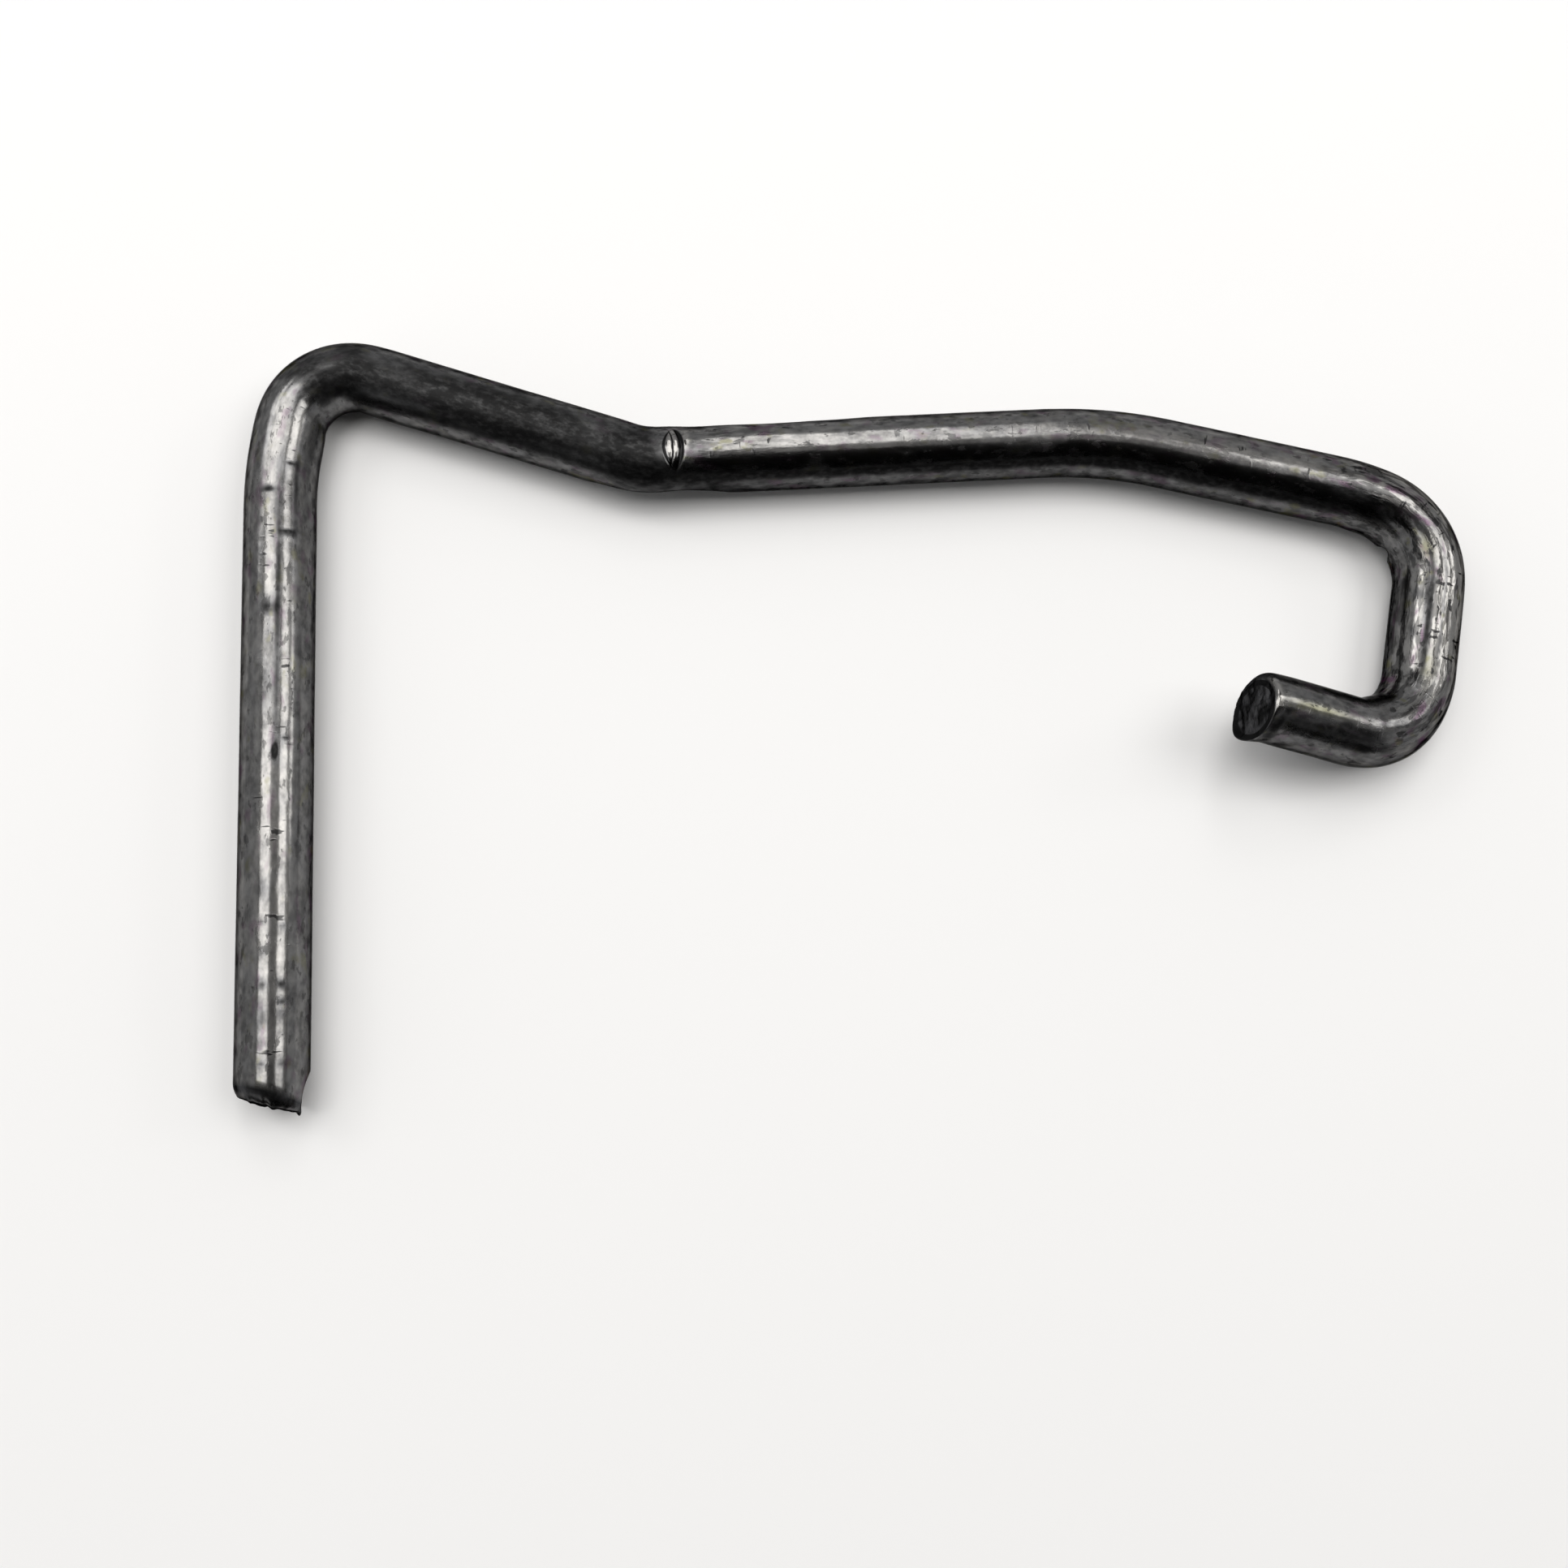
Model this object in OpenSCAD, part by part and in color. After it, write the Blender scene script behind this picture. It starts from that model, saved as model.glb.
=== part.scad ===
// Choke rod: one length of drawn steel wire, bent cold into a hooked link and sheared at both ends.
// Millimetres. The rod lies on its side: the long leg runs along +Y from its cut end to the shoulder,
// the span runs along +X to the hook, and +Z is up from the surface that the rod lies on.
// The origin is on that surface, under the middle of the rod's box.

/* [Wire] */
// Diameter of the drawn wire
wire_d = 2.5; // [2:0.05:3]
// How far a bend stands proud of the straights all round, where bending upset the wire
bend_upset = 0.01; // [0.005:0.005:0.05]

/* [Long leg] */
// Straight length from the middle of the cut end to the lead-in bend
long_leg = 21.1; // [15:0.05:30]
// Angle of the slow bend that leads into the shoulder
lead_in_angle = 9.4; // [4:0.1:14]
// Centreline radius of that slow bend
lead_in_radius = 13.3; // [6:0.1:18]

/* [Shoulder] */
// Straight length between the lead-in bend and the shoulder bend
shoulder_straight = 0.85; // [0.2:0.05:3]
// Angle of the shoulder bend
shoulder_angle = 99.1; // [85:0.1:105]
// Centreline radius of the shoulder bend
shoulder_radius = 2.25; // [1.9:0.05:4]

/* [Span] */
// Length of the sloping run between the shoulder and the kick
slope_run = 9.7; // [6:0.05:14]
// Angle of the kick, which turns back towards the shoulder's outside
kick_angle = 20.2; // [10:0.1:30]
// Centreline radius of the kick
kick_radius = 3.8; // [2.5:0.1:8]
// Length of the middle run between the kick and the sag
middle_run = 14.15; // [8:0.05:20]
// Angle of the slow sag in the span
sag_angle = 15.3; // [5:0.1:25]
// Centreline radius of the sag
sag_radius = 17; // [8:0.5:30]
// Length of the run between the sag and the hook
far_run = 6.85; // [4:0.05:12]

/* [Hook] */
// Angle of the short pre-bend before the hook bend
pre_bend_angle = 7; // [2:0.1:12]
// Centreline radius of the pre-bend
pre_bend_radius = 2.9; // [2:0.1:6]
// Straight length between the pre-bend and the hook bend
pre_bend_straight = 0.75; // [0.2:0.05:3]
// Angle of the hook bend
hook_angle = 81; // [70:0.1:95]
// Centreline radius of the hook bend
hook_radius = 3.05; // [2.2:0.05:5]
// Straight length of the drop leg between the hook's two bends
drop_leg = 3.2; // [1.5:0.05:8]
// Turn of the wire about the drop leg, which lifts the tip off the surface
tip_lift = 16.7; // [0:0.1:30]
// Angle of the tip bend
tip_angle = 90.6; // [75:0.1:100]
// Centreline radius of the tip bend
tip_radius = 2.8; // [2:0.05:4]
// Straight length of the tip, from its bend to where shearing pushed its end over
tip_run = 3.3; // [2:0.05:7]

/* [Sheared ends] */
// Slant of the long leg's cut, its hook side the longer
long_cut_slant = 16.5; // [0:0.1:25]
// Radius of the edge that the shear blade rolled over on the long leg
long_roll = 0.4; // [0.1:0.05:0.6]
// Place of that rolled edge about the wire, from its outer side (0) up to its top (90)
long_roll_turn = 70; // [0:5:180]
// Depth of the pinch beside the long leg's burr
long_pinch = 0.3; // [0.05:0.01:0.4]
// Distance from the long leg's burr to the deepest point of its pinch
long_pinch_back = 0.35; // [0.2:0.05:1.2]
// Turn of the long leg's pinch about the wire, down from its inner side
long_pinch_turn = 18; // [0:1:40]
// Angle by which the blade pushed the end of the tip over
tip_droop_angle = 8; // [2:0.5:15]
// Centreline radius of that push
tip_droop_radius = 3.5; // [2:0.1:8]
// Straight length from there to the middle of the tip's cut
tip_end = 0.3; // [0.2:0.05:1.5]
// Slant of the tip's cut
tip_cut_slant = 6.5; // [0:0.1:10]
// Radius of the rolled edge on the tip
tip_roll = 0.35; // [0.1:0.05:0.6]
// Place of the tip's rolled edge about the wire, from the side of the span (0) up to its top (90)
tip_roll_turn = 0; // [0:5:180]
// Depth of the pinch beside the tip's burr
tip_pinch = 0.03; // [0.02:0.01:0.2]
// Distance from the tip's burr to the deepest point of its pinch
tip_pinch_back = 1.4; // [0.5:0.05:2]
// Turn of the tip's pinch about the wire, down from its free side
tip_pinch_turn = 10; // [0:1:40]
// Radius of the shear blade's nose, which leaves the pinch
blade_nose = 2; // [1:0.1:3]

/* [Tool marks] */
// Depth of each groove of the nick at the kick
nick_depth = 0.07; // [0.03:0.01:0.12]
// Radius of the tool edge that left the nick's grooves
nick_edge = 0.13; // [0.08:0.01:0.25]
// Distance between the nick's grooves
nick_pitch = 0.28; // [0.24:0.01:0.5]
// Number of grooves in the nick
nick_count = 3; // [1:1:4]
// Distance from the end of the kick to the middle of the nick
nick_along = 0.4; // [0:0.05:1.5]
// Turn of the nick about the wire, from straight up towards the kick's inner side
nick_turn = 3; // [0:1:45]
// Depth of the flat that the bending pin left on the outer side of the kick
pin_flat = 0.2; // [0.02:0.01:0.25]
// Place of the pin's flat, as a part of the kick's angle
pin_place = 1; // [0.2:0.05:1]
// Radius of the bending pin's face
pin_crown = 16; // [6:0.5:25]
// Depth of the mark that the jaw left on the other side of the middle run
jaw_mark = 0.1; // [0.02:0.01:0.25]
// Distance from the end of the kick to the middle of the jaw's mark
jaw_mark_along = 3.8; // [2:0.1:6]
// Radius of the jaw's crowned face
jaw_crown = 28; // [10:1:40]
// Turn of the pin and the jaw about the wire, the pin's side down and the jaw's side up
jaw_turn = 20; // [0:1:40]
// Depth of the crease on the inner side of the hook bend
crease_depth = 0.2; // [0.05:0.01:0.3]
// Place of the crease, as a part of the hook bend's angle
crease_place = 0.48; // [0.3:0.01:0.8]
// Turn of the crease about the wire, down from the bend's inner side
crease_turn = 30; // [0:1:45]
// Radius of the mandrel's edge that left the crease
crease_edge = 0.8; // [0.4:0.1:1.5]

/* [Hidden] */
$fn = 96;
wire_r = wire_d / 2;
steel = [0.25, 0.25, 0.26];
// Length of a cutting solid: twice the wire, so that it clears the rest of the rod
cutter = 2 * wire_d;
// How far a straight runs on inside the thicker bend at its end
run_in = 0.1;

// Each row is one straight and the bend at its end:
// straight length, turn about the wire, bend angle (left is positive), centreline radius
BENDS = [
    [long_leg, 0, -lead_in_angle, lead_in_radius],
    [shoulder_straight, 0, -shoulder_angle, shoulder_radius],
    [slope_run, 0, kick_angle, kick_radius],
    [middle_run, 0, -sag_angle, sag_radius],
    [far_run, 0, -pre_bend_angle, pre_bend_radius],
    [pre_bend_straight, 0, -hook_angle, hook_radius],
    [drop_leg, -tip_lift, -tip_angle, tip_radius],
    [tip_run, 0, tip_droop_angle, tip_droop_radius],
];
KICK = 2;
MIDDLE = 3;
HOOK = 5;
END = len(BENDS);

// Frames along the wire: X is the way the wire runs, Z is square to the bend that comes next
function shift(v) = [[1, 0, 0, v.x], [0, 1, 0, v.y], [0, 0, 1, v.z], [0, 0, 0, 1]];
function turn_x(a) = [[1, 0, 0, 0], [0, cos(a), -sin(a), 0], [0, sin(a), cos(a), 0], [0, 0, 0, 1]];
function turn_z(a) = [[cos(a), -sin(a), 0, 0], [sin(a), cos(a), 0, 0], [0, 0, 1, 0], [0, 0, 0, 1]];
function bend_start(row) = shift([row[0], 0, 0]) * turn_x(row[1]);
function in_bend(row, swept) =
    let (side = sign(row[2]))
    shift([row[3] * sin(swept), side * row[3] * (1 - cos(swept)), 0]) * turn_z(side * swept);
function frame(i) =
    i < 1 ? turn_z(90)
    : let (row = BENDS[i - 1]) frame(i - 1) * bend_start(row) * in_bend(row, abs(row[2]));
function bend_frame(i, part) = frame(i) * bend_start(BENDS[i]) * in_bend(BENDS[i], part * abs(BENDS[i][2]));

// The rod's box, from frames at even steps through each bend
BEND_STEPS = 24;
burr_reach = wire_r * tan(long_cut_slant);
stations = [
    frame(0) * shift([-burr_reach, 0, 0]),
    for (i = [0:END - 1], k = [0:BEND_STEPS]) bend_frame(i, k / BEND_STEPS),
    frame(END) * shift([tip_end, 0, 0]),
];
bend_r = wire_r + bend_upset;
// How far a bend's round section reaches from its centreline along one axis
function section_reach(m, axis) = bend_r * sqrt(1 - min(1, m[axis][0] * m[axis][0]));
function low(axis) = min([for (m = stations) m[axis][3] - section_reach(m, axis)]);
function high(axis) = max([for (m = stations) m[axis][3] + section_reach(m, axis)]);
to_origin = [-(low(0) + high(0)) / 2, -(low(1) + high(1)) / 2, bend_r];

// A straight stretch of wire along X, from one place to another
module straight(from, to) {
    translate([from, 0, 0]) rotate([0, 90, 0]) cylinder(d = wire_d, h = to - from);
}

// A bend of the wire that starts along X and turns left, or right for a negative angle
module bend(angle, radius) {
    mirror([0, angle < 0 ? 1 : 0, 0])
        translate([0, radius, 0]) rotate([0, 0, -90])
            rotate_extrude(angle = abs(angle)) translate([radius, 0]) circle(r = bend_r);
}

// The bent wire, with stock left past each end for its cut
module bent_wire() {
    for (i = [0:END - 1]) {
        multmatrix(frame(i)) straight(i == 0 ? -2 * burr_reach : -run_in, BENDS[i][0] + run_in);
        multmatrix(frame(i) * bend_start(BENDS[i])) bend(BENDS[i][2], BENDS[i][3]);
    }
    multmatrix(frame(END)) straight(-run_in, tip_end + wire_r * tan(tip_cut_slant) + run_in);
}

// Everything past a shear cut through the end of a wire that runs along +X from X = 0; the cut's slant
// leaves the -Y side longer
module past_cut(slant) {
    rotate([0, 0, -slant]) translate([-cutter, -cutter / 2, -cutter / 2]) cube(cutter);
}

// The edge that the blade rolled over: a ring that rounds the cut's rim to the given radius. It is wider
// than the wire and set off to one side, so the round fades out opposite its place about the wire.
module rolled_edge(slant, roll, turn) {
    offset_y = roll / 2;
    ring_r = wire_r + offset_y - roll;
    rotate([0, 0, -slant]) rotate([turn, 0, 0]) translate([0, -offset_y, 0]) rotate([0, 90, 0])
        rotate_extrude() difference() {
            translate([ring_r, -roll]) square(2 * roll);
            translate([ring_r, roll]) circle(r = roll, $fn = 48);
        }
}

// The pinch that the blade's nose left on the -Y side, just short of the burr
module blade_pinch(slant, depth, back, turn) {
    rotate([turn, 0, 0]) translate([back - wire_r * tan(slant), -wire_r - blade_nose + depth, 0])
        cylinder(r = blade_nose, h = cutter, center = true);
}

// All that shearing took off one end, in the frame of a wire that runs along +X from X = 0
module shear_loss(slant, roll, roll_turn, pinch, pinch_back, pinch_turn) {
    past_cut(slant);
    rolled_edge(slant, roll, roll_turn);
    blade_pinch(slant, pinch, pinch_back, pinch_turn);
}

// A tool face that bears on the wire's side at X = 0, crowned to the given radius along the wire and
// turned about it. Only the part that meets the wire is kept, so that it clears the rest of the rod.
module side_tool(side, turn, crown, depth) {
    contact = 2.4 * sqrt(2 * crown * depth);
    rotate([turn, 0, 0]) intersection() {
        translate([0, side * (wire_r + crown - depth), 0])
            cylinder(r = crown, h = cutter, center = true, $fn = 180);
        translate([0, side * wire_r, 0]) cube([contact, wire_r, cutter], center = true);
    }
}

// The crescent grooves of the nick: rings wider than the wire that lean on it from above
module nick() {
    ring_r = 1.8 * wire_r;
    rotate([-nick_turn, 0, 0])
        for (k = [0:nick_count - 1])
            translate([nick_along + (k - (nick_count - 1) / 2) * nick_pitch, 0, wire_r + nick_edge - nick_depth - ring_r])
                rotate([0, 90, 0]) rotate_extrude() translate([ring_r, 0]) circle(r = nick_edge, $fn = 32);
}

// The marks that bending left along the wire
module tool_marks() {
    multmatrix(frame(MIDDLE)) {
        nick();
        translate([jaw_mark_along, 0, 0]) side_tool(1, jaw_turn, jaw_crown, jaw_mark);
    }
    multmatrix(bend_frame(KICK, pin_place)) side_tool(-1, jaw_turn, pin_crown, pin_flat);
    multmatrix(bend_frame(HOOK, crease_place)) side_tool(-1, crease_turn, crease_edge, crease_depth);
}

module choke_rod() {
    color(steel) translate(to_origin) difference() {
        bent_wire();
        multmatrix(frame(0)) shear_loss(
            long_cut_slant, long_roll, long_roll_turn, long_pinch, long_pinch_back, long_pinch_turn
        );
        multmatrix(frame(END)) translate([tip_end, 0, 0]) rotate([0, 0, 180]) shear_loss(
            tip_cut_slant, tip_roll, tip_roll_turn, tip_pinch, tip_pinch_back, tip_pinch_turn
        );
        tool_marks();
    }
}

choke_rod();
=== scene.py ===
"""The choke rod's looks: one bent, sheared and scratched steel wire on a pale studio floor."""

import math

import bpy
import numpy as np
from mathutils import Matrix, Vector


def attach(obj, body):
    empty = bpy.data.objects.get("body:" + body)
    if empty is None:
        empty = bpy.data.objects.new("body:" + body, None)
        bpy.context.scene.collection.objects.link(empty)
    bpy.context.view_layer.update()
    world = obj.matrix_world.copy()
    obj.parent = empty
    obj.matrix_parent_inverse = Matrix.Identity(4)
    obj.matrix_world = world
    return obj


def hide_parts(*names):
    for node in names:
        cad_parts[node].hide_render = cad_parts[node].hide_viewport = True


bl_info = {
    "name": "Choke Rod",
    "version": (1, 0, 0),
    "blender": (4, 5, 0),
    "location": "3D Viewport > Sidebar > Choke Rod",
    "description": "Builds a bent steel wire rod with sheared ends, its finish and its studio",
    "category": "Add Mesh",
}

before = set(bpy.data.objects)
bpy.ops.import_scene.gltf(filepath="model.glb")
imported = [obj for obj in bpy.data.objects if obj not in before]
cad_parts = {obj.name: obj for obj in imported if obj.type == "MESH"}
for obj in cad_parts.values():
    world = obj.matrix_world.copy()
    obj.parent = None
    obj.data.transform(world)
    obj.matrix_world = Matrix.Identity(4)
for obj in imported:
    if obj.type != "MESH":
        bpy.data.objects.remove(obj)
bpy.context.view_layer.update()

MM = 0.001
# The middle of the long leg's cut in the row's frame (metres), and the way that the wire leaves it
# (degrees about Z, from X)
WIRE_START = (-0.0210439, -0.0134405, 0.00126)
WIRE_HEADING = 90.0


# Sizes and colours that a user would change
def length(name, description, default):
    """A distance in metres."""
    return bpy.props.FloatProperty(
        name=name, description=description, default=default, min=0.0, max=1.0,
        unit="LENGTH", subtype="DISTANCE", precision=5,
    )


def angle(name, description, degrees):
    """An angle, given in degrees and kept in radians."""
    return bpy.props.FloatProperty(
        name=name, description=description, default=math.radians(degrees), unit="ROTATION", subtype="ANGLE",
    )


def share(name, description, default):
    """A plain number from 0 to 1."""
    return bpy.props.FloatProperty(
        name=name, description=description, default=default, min=0.0, max=1.0, subtype="FACTOR",
    )


def colour(name, description, default):
    """A linear colour."""
    return bpy.props.FloatVectorProperty(
        name=name, description=description, default=default, min=0.0, max=1.0, size=3, subtype="COLOR",
    )


class WireSizes(bpy.types.PropertyGroup):
    """Straights and bends of the wire, from the long leg's cut to the tip's cut"""

    diameter: length("Wire diameter", "Diameter of the drawn wire", 0.0025)
    long_leg: length("Long leg", "Straight length of the long leg", 0.0211)
    lead_in: angle("Lead-in", "Angle of the slow bend before the shoulder", 9.4)
    lead_in_radius: length("Lead-in radius", "Centreline radius of that bend", 0.0133)
    shoulder_straight: length("Shoulder straight", "Straight before the shoulder bend", 0.00085)
    shoulder: angle("Shoulder", "Angle of the shoulder bend", 99.1)
    shoulder_radius: length("Shoulder radius", "Centreline radius of the shoulder", 0.00225)
    slope_run: length("Sloping run", "Straight from the shoulder to the kick", 0.0097)
    kick: angle("Kick", "Angle of the kick", 20.2)
    kick_radius: length("Kick radius", "Centreline radius of the kick", 0.0038)
    middle_run: length("Middle run", "Straight from the kick to the sag", 0.01415)
    sag: angle("Sag", "Angle of the slow sag", 15.3)
    sag_radius: length("Sag radius", "Centreline radius of the sag", 0.017)
    far_run: length("Far run", "Straight from the sag to the hook", 0.00685)
    pre_bend: angle("Pre-bend", "Angle of the short bend before the hook", 7.0)
    pre_bend_radius: length("Pre-bend radius", "Centreline radius of the pre-bend", 0.0029)
    pre_bend_straight: length("Pre-bend straight", "Straight before the hook bend", 0.00075)
    hook: angle("Hook", "Angle of the hook bend", 81.0)
    hook_radius: length("Hook radius", "Centreline radius of the hook bend", 0.00305)
    drop_leg: length("Drop leg", "Straight between the hook's two bends", 0.0032)
    tip_lift: angle("Tip lift", "Turn about the drop leg that lifts the tip", 16.7)
    tip: angle("Tip bend", "Angle of the tip bend", 90.6)
    tip_radius: length("Tip bend radius", "Centreline radius of the tip bend", 0.0028)
    tip_run: length("Tip", "Straight length of the tip", 0.0033)
    droop: angle("Droop", "Angle by which shearing pushed the tip over", 8.0)
    droop_radius: length("Droop radius", "Centreline radius of the droop", 0.0035)
    tip_end: length("Tip end", "Straight from the droop to the tip's cut", 0.0003)


class MarkSizes(bpy.types.PropertyGroup):
    """Marks of the tools that bent and cut the wire"""

    long_slant: angle("Long leg's slant", "Slant of the long leg's cut", 16.5)
    long_roll: length("Long leg's roll", "Radius of the rolled edge on the long leg", 0.0004)
    long_pinch: length("Long leg's pinch", "Depth of the pinch beside the long leg's burr", 0.0003)
    tip_slant: angle("Tip's slant", "Slant of the tip's cut", 6.5)
    tip_roll: length("Tip's roll", "Radius of the rolled edge on the tip", 0.00035)
    tip_pinch: length("Tip's pinch", "Depth of the pinch beside the tip's burr", 0.00003)
    nick_depth: length("Nick depth", "Depth of each groove of the nick", 0.00007)
    nick_place: length("Nick place", "Distance of the nick's middle past the kick's end", 0.0004)
    nick_turn: angle("Nick turn", "Angle about the wire of the nick's middle, from the left of travel", 87.0)
    pin_flat: length("Pin flat", "Depth of the bending pin's flat", 0.0002)
    jaw_mark: length("Jaw mark", "Depth of the jaw's mark", 0.0001)
    crease: length("Crease", "Depth of the crease in the hook bend", 0.0002)
    wear: length("Wear", "Height of the draw lines and dents on the wire", 0.000008)


class SteelFinish(bpy.types.PropertyGroup):
    """Colours and gloss of the drawn steel"""

    # The bright steel also paints highlights where the lamps' streaks are made brighter
    bright: colour("Bright steel", "Steel rubbed bright by handling", (0.285, 0.279, 0.269))
    dark: colour("Dark steel", "Skin of the drawn wire", (0.122, 0.122, 0.124))
    stain: colour("Purple stain", "Temper colour left by heat", (0.108, 0.07, 0.102))
    oil: colour("Olive stain", "Old oil", (0.1326, 0.13, 0.0754))
    # The cut steel, with black, also paints the bands of reflection on the long leg's rolled edge
    cut: colour("Cut steel", "Face left by the shear", (0.09, 0.09, 0.095))
    gloss: share("Roughness", "Roughness of the rubbed steel", 0.13)


class StudioSizes(bpy.types.PropertyGroup):
    """Camera, lamps and floor"""

    lens: bpy.props.FloatProperty(name="Lens", description="Focal length", default=31.51, unit="CAMERA")
    floor_colour: colour("Floor", "Colour of the floor", (0.93, 0.93, 0.93))
    room: share("Room light", "Strength of the even light of the room", 0.6)


# The wire's path
# The reach of the step at each end of a bend's curvature, and the places of the kick and of the hook bend
# in the rows that the wire operator gives
BEND_EASE = 0.33 * MM
KICK = 2
HOOK = 5


class WirePath:
    """The wire's centreline as straights and arcs that follow one another.

    Each stretch keeps the frame at its start (X along the wire, Z square to its bend), its curvature and
    the turn about the wire so far. A point at distance d into an arc of curvature k lies at
    (sin(kd) / k, (1 - cos(kd)) / k, 0) in that frame, and the frame has turned by kd about Z."""

    def __init__(self, rows, tip_end):
        here = Matrix.Translation(WIRE_START) @ Matrix.Rotation(math.radians(WIRE_HEADING), 4, "Z")
        starts, frames, bends, turns = [0.0], [here], [0.0], [0.0]
        turned = 0.0
        for straight, turn, bend, radius in rows:
            here = here @ Matrix.Translation((straight, 0, 0)) @ Matrix.Rotation(turn, 4, "X")
            turned += turn
            starts.append(starts[-1] + straight)
            frames.append(here)
            bends.append(math.copysign(1 / radius, bend))
            turns.append(turned)
            arc = Matrix.Translation((0, math.copysign(radius, bend), 0)) @ Matrix.Rotation(bend, 4, "Z")
            here = here @ arc @ Matrix.Translation((0, -math.copysign(radius, bend), 0))
            starts.append(starts[-1] + abs(bend) * radius)
            frames.append(here)
            bends.append(0.0)
            turns.append(turned)
        self.starts = np.array(starts)
        self.frames = np.array([list(map(list, m)) for m in frames])
        self.bends = np.array(bends)
        self.turns = np.array(turns)
        self.end = starts[-1] + tip_end

    def bend_end(self, row):
        """Distance along the wire to the end of a row's bend."""
        return self.starts[2 * row + 2]

    def bend_place(self, row, part):
        """Distance along the wire to a place in a row's bend, as a part of its angle."""
        return self.starts[2 * row + 1] * (1 - part) + self.starts[2 * row + 2] * part

    def curvature(self, s):
        """Signed curvature at each distance, eased by a tanh step at each end of each bend."""
        total = np.zeros_like(s)
        for start, end, bend in zip(self.starts, np.append(self.starts[1:], np.inf), self.bends):
            if bend:
                total += bend * (np.tanh((s - start) / BEND_EASE) - np.tanh((s - end) / BEND_EASE)) / 2
        return total

    def surface(self, s, radius, around):
        """Points on the wire: from the centreline at distance s, out by radius at the angle around it."""
        k = np.clip(np.searchsorted(self.starts, s, side="right") - 1, 0, len(self.starts) - 1)
        d, bend = s - self.starts[k], self.bends[k]
        swept = bend * d
        straight = bend == 0
        safe = np.where(straight, 1.0, bend)
        x = np.where(straight, d, np.sin(swept) / safe)
        y = np.where(straight, 0.0, (1 - np.cos(swept)) / safe)
        side = radius * np.cos(around - self.turns[k])
        up = radius * np.sin(around - self.turns[k])
        local = np.stack([x - side * np.sin(swept), y + side * np.cos(swept), up, np.ones_like(x)], -1)
        return np.einsum("...ij,...j->...i", self.frames[k], local)[..., :3]


# Heights and dents
# Cells each way after which the lattice of random numbers repeats
LATTICE = 32
# Thickness of the eased edge round a tool's face, and what keeps the face's formula within its crown and
# within a quarter turn to each side
FACE_EDGE = 0.012 * MM
MOST_OF_CROWN = 0.999
LEAST_COSINE = 0.05


def lattice_noise(points, seed):
    """Smooth random heights from -1 to 1: a random number at each whole place of a lattice that repeats,
    eased by 3t^2 - 2t^3 between the eight corners of the cell that holds the point."""
    lattice = np.random.default_rng(seed).uniform(-1, 1, (LATTICE, LATTICE, LATTICE))
    base = np.floor(points).astype(int)
    part = points - base
    part = part * part * (3 - 2 * part)
    total = np.zeros(points.shape[:-1])
    for corner in np.ndindex(2, 2, 2):
        weight = np.prod(np.where(np.array(corner, bool), part, 1 - part), axis=-1)
        cell = (base + corner) % LATTICE
        total += weight * lattice[cell[..., 0], cell[..., 1], cell[..., 2]]
    return total


def turned_from(around, place):
    """Signed angle from a place about the wire, from -pi to pi."""
    return (around - place + np.pi) % (2 * np.pi) - np.pi


def under_face(radius, s, around, place_s, place_around, wire_r, depth, crown):
    """The section pressed back to a crowned tool face that bears at one place: the face's distance from
    the wire's axis is wire_r - depth at the place and grows by the crown's circle along the wire, and
    a ray at an angle from the place meets it at that distance over the cosine of the angle. Of the wire
    and the face the lower holds, eased where they meet by the logarithm of a sum of exponentials."""
    off = turned_from(around, math.radians(place_around))
    along = np.minimum(np.abs(s - place_s), MOST_OF_CROWN * crown)
    distance = wire_r - depth + crown - np.sqrt(crown**2 - along**2)
    limit = distance / np.maximum(np.cos(off), LEAST_COSINE)
    return radius - np.logaddexp(0, (radius - limit) / FACE_EDGE) * FACE_EDGE


def dent(s, around, place_s, place_around, long, wide, height):
    """A smooth dent, swelling or patch: height times a bell curve along the wire and another around it."""
    off = turned_from(around, math.radians(place_around))
    return height * np.exp(-(((s - place_s * MM) / (long * MM)) ** 2) - (off / math.radians(wide)) ** 2)


# Hand-forming left these along the wire: place along and about it (mm, degrees), reach along and
# about it (mm, degrees), height (mm)
DENTS = [
    (38.3, 180.0, 1.2, 50.0, 0.09),
    (40.4, 0.0, 0.9, 50.0, -0.09),
    (45.4, 0.0, 0.9, 50.0, -0.05),
    (75.6, -20.0, 1.9, 50.0, 0.13),
    (76.6, 160.0, 0.7, 50.0, 0.07),
]
# A bend flattens the wire towards its tool by its curvature times the wire's radius times FLATTENED, as
# a share of the radius, and spreads it sideways by SPREAD of that
FLATTENED = 0.06
SPREAD = 0.35


def wire_section(path, sizes, marks, s, around):
    """Radius of the wire at each place: round, a little flat in the bends where the wire was squeezed
    against the tool, with the tools' marks pressed in and dents added."""
    wire_r = sizes.diameter / 2
    local = around - np.interp(s, path.starts, path.turns)
    squeeze = FLATTENED * np.abs(path.curvature(s)) * wire_r
    radius = wire_r * (1 - squeeze * np.cos(local) ** 2 + SPREAD * squeeze * np.sin(local) ** 2)
    long_burr = -wire_r * math.tan(marks.long_slant)
    tip_burr = path.end + wire_r * math.tan(marks.tip_slant)
    # Each tool face: place along the wire, place about it (degrees), depth, radius of its crown
    faces = [
        (path.bend_end(KICK), 200.0, marks.pin_flat, 16 * MM),
        (path.bend_end(KICK) + 3.8 * MM, 20.0, marks.jaw_mark, 28 * MM),
        (path.bend_place(HOOK, 0.48), 210.0, marks.crease, 0.8 * MM),
        (long_burr + 0.35 * MM, 198.0, marks.long_pinch, 2 * MM),
        (tip_burr - 1.4 * MM, -10.0, marks.tip_pinch, 2 * MM),
    ]
    for place, turn, depth, crown in faces:
        radius = under_face(radius, s, around, place, turn, wire_r, depth, crown)
    for row in DENTS:
        radius = radius + MM * dent(s, around, *row)
    return radius


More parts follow.
